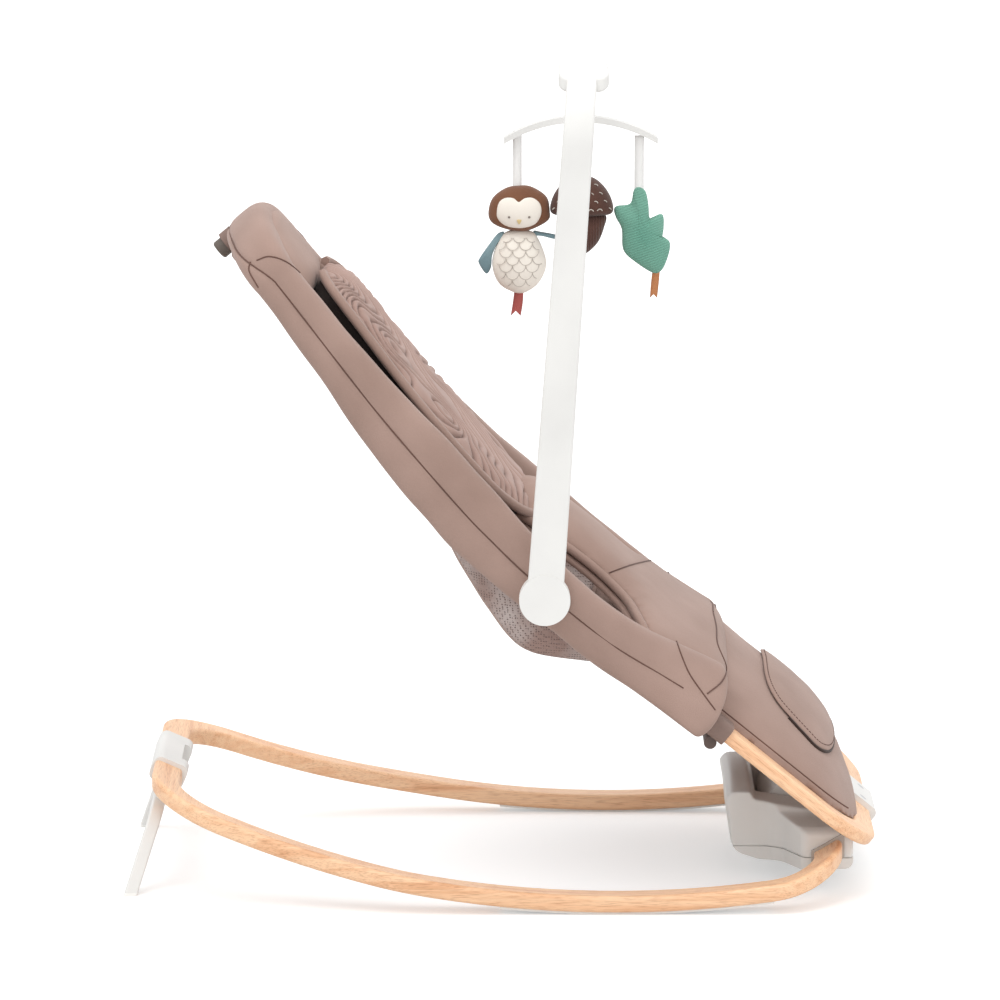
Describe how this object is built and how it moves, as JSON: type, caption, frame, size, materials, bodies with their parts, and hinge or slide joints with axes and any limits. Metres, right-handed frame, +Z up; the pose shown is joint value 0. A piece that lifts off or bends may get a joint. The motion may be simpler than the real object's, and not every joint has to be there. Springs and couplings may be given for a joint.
{
  "type": "infant bouncer seat",
  "caption": "Infant bouncer: bent-wood rocker base, padded sling seat hinged on a front hub, rear kickstand and a side toy bar with hanging stuffed toys.",
  "frame": {"origin": "on the floor under the middle of the whole object's box", "axes": "+Z up, -Y towards the foot end (front), X across the seat with the toy bar's post on the -X side"},
  "size_m": [0.446, 0.7124, 0.7717],
  "materials": {
    "acorn_knit": "knit",
    "brown_knit": "knit",
    "cream_knit": "knit",
    "green_rib_knit": "ribbed knit",
    "grey_rubber": "matt",
    "oak": "clear satin lacquer",
    "ochre_ribbon": "ribbon",
    "quilted_taupe": "quilted jersey",
    "rose_ribbon": "ribbon",
    "steel": "zinc plated",
    "taupe_fabric": "jersey",
    "taupe_mesh": "open mesh",
    "taupe_plastic": "matt",
    "teal_fabric": "woven",
    "white_plastic": "fine satin",
    "white_rubber": "matt",
    "white_webbing": "flat woven"
  },
  "bodies": {
    "base": {"base_rail_left": "oak", "base_rail_right": "oak", "hub_axle": "steel", "hub_base_plate": "white_plastic", "hub_housing": "white_plastic", "hub_screws": "steel", "kickstand_pin": "steel", "rail_gaskets": "grey_rubber", "rail_strip_left": "white_rubber", "rail_strip_right": "white_rubber", "rear_connector": "white_plastic"},
    "kickstand": {"kickstand": "white_plastic", "kickstand_feet": "grey_rubber"},
    "seat": {"back_panel": "taupe_fabric", "backrest_tube": "steel", "bar_pin": "steel", "bar_socket": "white_plastic", "bracket_clamp_cap": "white_plastic", "button_cup": "taupe_plastic", "clamp_screws": "steel", "cross_bar": "steel", "crotch_bib": "taupe_fabric", "ferrule_left": "taupe_plastic", "ferrule_right": "taupe_plastic", "foot_pad": "taupe_fabric", "foot_patch": "taupe_fabric", "head_bolster": "taupe_fabric", "head_pad": "taupe_fabric", "infant_insert": "quilted_taupe", "knee_panel": "taupe_fabric", "mesh_gusset_left": "taupe_mesh", "mesh_gusset_right": "taupe_mesh", "seat_bottom": "taupe_fabric", "seat_bracket": "white_plastic", "seat_wood_loop": "oak", "sleeve_left": "taupe_fabric", "sleeve_right": "taupe_fabric"},
    "recline_button": {"recline_button": "taupe_plastic"},
    "toy_bar": {"toy_arm": "white_plastic", "mobile_bow": "white_plastic", "bow_stem": "white_plastic"},
    "owl": {"owl_body": "cream_knit", "owl_face": "cream_knit", "owl_head": "brown_knit", "owl_strap": "white_webbing", "owl_tail": "rose_ribbon", "owl_wing_rear": "teal_fabric", "owl_wing_front": "teal_fabric"},
    "acorn": {"acorn_cap": "acorn_knit", "acorn_nut": "acorn_knit", "acorn_strap": "white_webbing"},
    "leaf": {"leaf_body": "green_rib_knit", "leaf_strap": "white_webbing", "leaf_tail": "ochre_ribbon"}
  },
  "joints": [
    {"name": "seat_recline", "type": "hinge", "parent": "base", "child": "seat", "pos_m": [0.00795, -0.26247, 0.062], "axis": [1, 0, 0], "range_deg": [-36, 0]},
    {"name": "kickstand_swing", "type": "hinge", "parent": "base", "child": "kickstand", "pos_m": [0.00795, 0.31753, 0.09853], "axis": [1, 0, 0], "range_deg": [-100, 0]},
    {"name": "toy_bar_tilt", "type": "hinge", "parent": "seat", "child": "toy_bar", "pos_m": [-0.21605, -0.03848, 0.30202], "axis": [1, 0, 0], "range_deg": [-12, 35]},
    {"name": "owl_swing", "type": "hinge", "parent": "toy_bar", "child": "owl", "pos_m": [0.00795, -0.01348, 0.69885], "axis": [0, 1, 0], "range_deg": [-25, 25]},
    {"name": "acorn_swing", "type": "hinge", "parent": "toy_bar", "child": "acorn", "pos_m": [0.00795, -0.07448, 0.71252], "axis": [0, 1, 0], "range_deg": [-25, 25]},
    {"name": "leaf_swing", "type": "hinge", "parent": "toy_bar", "child": "leaf", "pos_m": [0.00795, -0.12848, 0.70113], "axis": [0, 1, 0], "range_deg": [-25, 25]},
    {"name": "button_press", "type": "slide", "parent": "seat", "child": "recline_button", "axis": [0, -0.7649, 0.6441], "range_m": [0, 0.005], "stiffness_N_per_m": 600}
  ]
}
